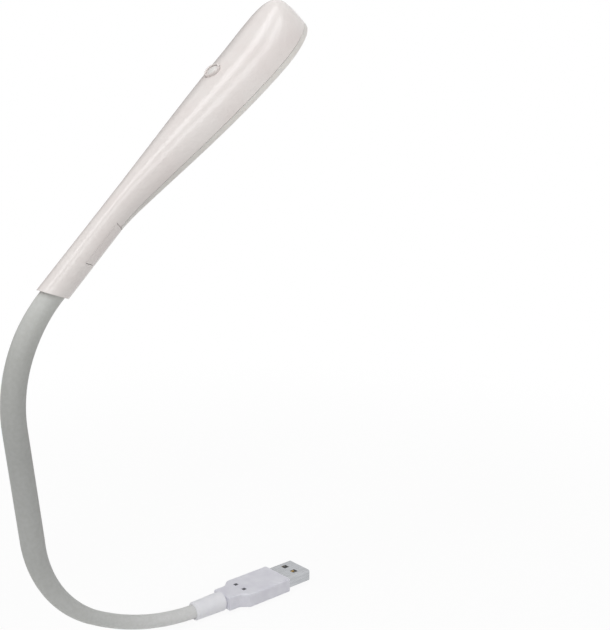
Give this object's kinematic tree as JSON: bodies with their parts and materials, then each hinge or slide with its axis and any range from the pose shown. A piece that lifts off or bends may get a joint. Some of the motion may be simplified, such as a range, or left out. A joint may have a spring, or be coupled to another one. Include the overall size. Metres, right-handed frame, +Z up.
{
  "type": "usb led lamp",
  "caption": "LED lamp with a USB plug, a bendable neck that stays where it is put and a spoon-shaped head with a push button and a flat diffuser.",
  "frame": {"origin": "middle of the plug body's stop face, on the plug shell's axis", "axes": "+X points into the USB socket, +Z is up, the lamp is symmetric about Y = 0"},
  "size_m": [0.1236, 0.0294, 0.2228],
  "materials": {
    "head_plastic": "gloss",
    "neck_jacket": "satin",
    "plug_plastic": "satin",
    "usb_metal": "brushed",
    "tongue_plastic": "satin",
    "contact_metal": "polished",
    "crimp_metal": "satin",
    "steel_wire": "satin",
    "red_insulation": "satin",
    "black_insulation": "satin",
    "lens_plastic": "satin",
    "board": "matte",
    "screw_steel": "satin",
    "led_case": "satin",
    "chip_black": "matte",
    "switch_plastic": "matte",
    "button_ring": "gloss",
    "button_plastic": "gloss"
  },
  "bodies": {
    "plug": {"usb_shell": "usb_metal", "usb_tongue": "tongue_plastic", "usb_contacts": "contact_metal", "plug_body": "plug_plastic", "plug_boot": "plug_plastic", "plug_crimp": "crimp_metal", "neck_link_1": "neck_jacket", "bend_wire": "steel_wire", "live_wire": "red_insulation", "ground_wire": "black_insulation"},
    "neck_2": {"neck_link_2": "neck_jacket"},
    "neck_3": {"neck_link_3": "neck_jacket"},
    "neck_4": {"neck_link_4": "neck_jacket"},
    "neck_5": {"neck_link_5": "neck_jacket"},
    "neck_6": {"neck_link_6": "neck_jacket"},
    "neck_7": {"neck_link_7": "neck_jacket"},
    "neck_8": {"neck_link_8": "neck_jacket"},
    "neck_9": {"neck_link_9": "neck_jacket"},
    "neck_10": {"neck_link_10": "neck_jacket"},
    "lamp_head": {"neck_link_11": "neck_jacket", "head_crimp": "crimp_metal", "head_shell": "head_plastic", "stem_cover": "head_plastic", "diffuser": "lens_plastic", "led_board": "board", "board_screws": "screw_steel", "leds": "led_case", "resistors": "chip_black", "driver_chip": "chip_black", "switch_body": "switch_plastic", "button_bezel": "button_ring"},
    "button": {"button_cap": "button_plastic", "switch_plunger": "switch_plastic"}
  },
  "joints": [
    {"name": "neck_bend_1", "type": "hinge", "parent": "plug", "child": "neck_2", "pos_m": [-0.0533, 0, 0.00136], "axis": [0, 1, 0], "range_deg": [-12, 12], "deforming": ["bend_wire", "live_wire", "ground_wire"]},
    {"name": "neck_side_2", "type": "hinge", "parent": "neck_2", "child": "neck_3", "pos_m": [-0.06813, 0, 0.0054], "axis": [-0.3475, 0, -0.9377], "range_deg": [-10, 10], "deforming": ["bend_wire", "live_wire", "ground_wire"]},
    {"name": "neck_lower_bend", "type": "hinge", "parent": "neck_3", "child": "neck_4", "pos_m": [-0.082, 0, 0.012], "axis": [0, 1, 0], "range_deg": [-12, 12], "deforming": ["bend_wire", "live_wire", "ground_wire"]},
    {"name": "neck_side_4", "type": "hinge", "parent": "neck_4", "child": "neck_5", "pos_m": [-0.09248, 0, 0.02058], "axis": [-0.7451, 0, -0.667], "range_deg": [-10, 10], "deforming": ["bend_wire", "live_wire", "ground_wire"]},
    {"name": "neck_bend_5", "type": "hinge", "parent": "neck_5", "child": "neck_6", "pos_m": [-0.09986, 0, 0.03194], "axis": [0, 1, 0], "range_deg": [-12, 12], "deforming": ["bend_wire", "live_wire", "ground_wire"]},
    {"name": "neck_side_swing", "type": "hinge", "parent": "neck_6", "child": "neck_7", "pos_m": [-0.10344, 0, 0.045], "axis": [-0.9936, 0, -0.1132], "range_deg": [-10, 10], "deforming": ["bend_wire", "live_wire", "ground_wire"]},
    {"name": "neck_bend_7", "type": "hinge", "parent": "neck_7", "child": "neck_8", "pos_m": [-0.10561, 0, 0.06403], "axis": [0, 1, 0], "range_deg": [-15, 15], "deforming": ["bend_wire", "live_wire", "ground_wire"]},
    {"name": "neck_side_8", "type": "hinge", "parent": "neck_8", "child": "neck_9", "pos_m": [-0.10777, 0, 0.08306], "axis": [-0.9936, 0, -0.1132], "range_deg": [-10, 10], "deforming": ["bend_wire", "live_wire", "ground_wire"]},
    {"name": "neck_upper_bend", "type": "hinge", "parent": "neck_9", "child": "neck_10", "pos_m": [-0.10726, 0, 0.09783], "axis": [0, 1, 0], "range_deg": [-15, 15], "deforming": ["bend_wire", "live_wire", "ground_wire"]},
    {"name": "neck_side_10", "type": "hinge", "parent": "neck_10", "child": "lamp_head", "pos_m": [-0.10244, 0, 0.1118], "axis": [-0.887, 0, 0.4617], "range_deg": [-10, 10], "deforming": ["bend_wire", "live_wire", "ground_wire"]},
    {"name": "button_press", "type": "slide", "parent": "lamp_head", "child": "button", "axis": [0.7133, 0, -0.7009], "range_m": [0, 0.0005], "stiffness_N_per_m": 2000}
  ],
  "couplings": [
    {"joint": "neck_bend_1", "follows": "neck_lower_bend", "ratio": 1},
    {"joint": "neck_bend_5", "follows": "neck_lower_bend", "ratio": 1},
    {"joint": "neck_bend_7", "follows": "neck_upper_bend", "ratio": 1},
    {"joint": "neck_side_2", "follows": "neck_side_swing", "ratio": 1},
    {"joint": "neck_side_4", "follows": "neck_side_swing", "ratio": 1},
    {"joint": "neck_side_8", "follows": "neck_side_swing", "ratio": 1},
    {"joint": "neck_side_10", "follows": "neck_side_swing", "ratio": 1}
  ]
}
